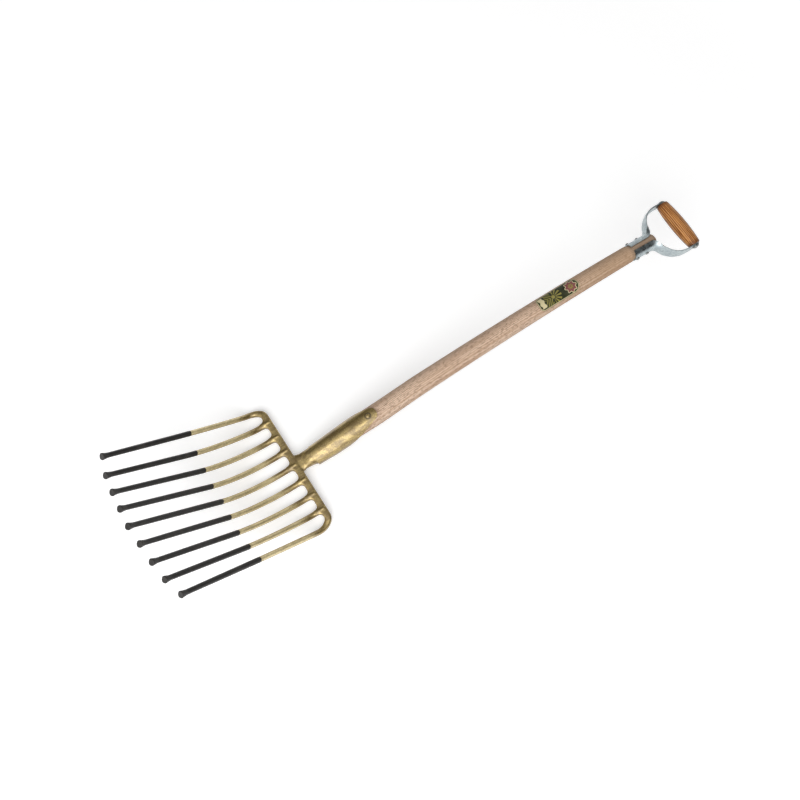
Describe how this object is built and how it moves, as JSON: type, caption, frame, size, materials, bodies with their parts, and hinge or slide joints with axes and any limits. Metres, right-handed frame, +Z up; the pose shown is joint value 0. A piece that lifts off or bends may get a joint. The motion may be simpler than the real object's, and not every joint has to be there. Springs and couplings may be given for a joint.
{
  "type": "ballast fork",
  "caption": "Long-handled ballast fork: a broad dished head of slim tines with blunt button tips, a riveted socket, a slightly bent ash shaft and a D grip of pressed steel and turned wood",
  "frame": {"origin": "on the floor, under the middle of the whole fork's box", "axes": "+Y from the tines to the grip, along the fork; +X across the tines; +Z up, out of the dish of the head"},
  "size_m": [0.2714, 1.196, 0.2047],
  "materials": {
    "gold_lacquer": "gold-bronze lacquer over forged steel, satin",
    "black_dip": "black dip paint, slightly rough",
    "ash": "sanded ash, unvarnished",
    "varnished_ash": "clear varnished ash, glossy",
    "zinc_plate": "zinc-plated pressed steel",
    "rivet_steel": "plain steel rivet",
    "label_paper": "printed film label, dark green"
  },
  "bodies": {
    "root": {"crossbar": "gold_lacquer", "tine_1": "black_dip", "tine_2": "black_dip", "tine_3": "black_dip", "tine_4": "black_dip", "tine_5": "black_dip", "tine_6": "black_dip", "tine_7": "black_dip", "tine_8": "black_dip", "tine_9": "black_dip", "socket": "gold_lacquer", "socket_rivet": "rivet_steel", "shaft": "ash", "yoke_arm_left": "zinc_plate", "yoke_arm_right": "zinc_plate", "yoke_rivet_lower": "rivet_steel", "yoke_rivet_upper": "rivet_steel", "hand_grip": "varnished_ash", "grip_rod": "rivet_steel", "grip_washer_left": "zinc_plate", "grip_washer_right": "zinc_plate", "label": "label_paper"}
  },
  "joints": []
}
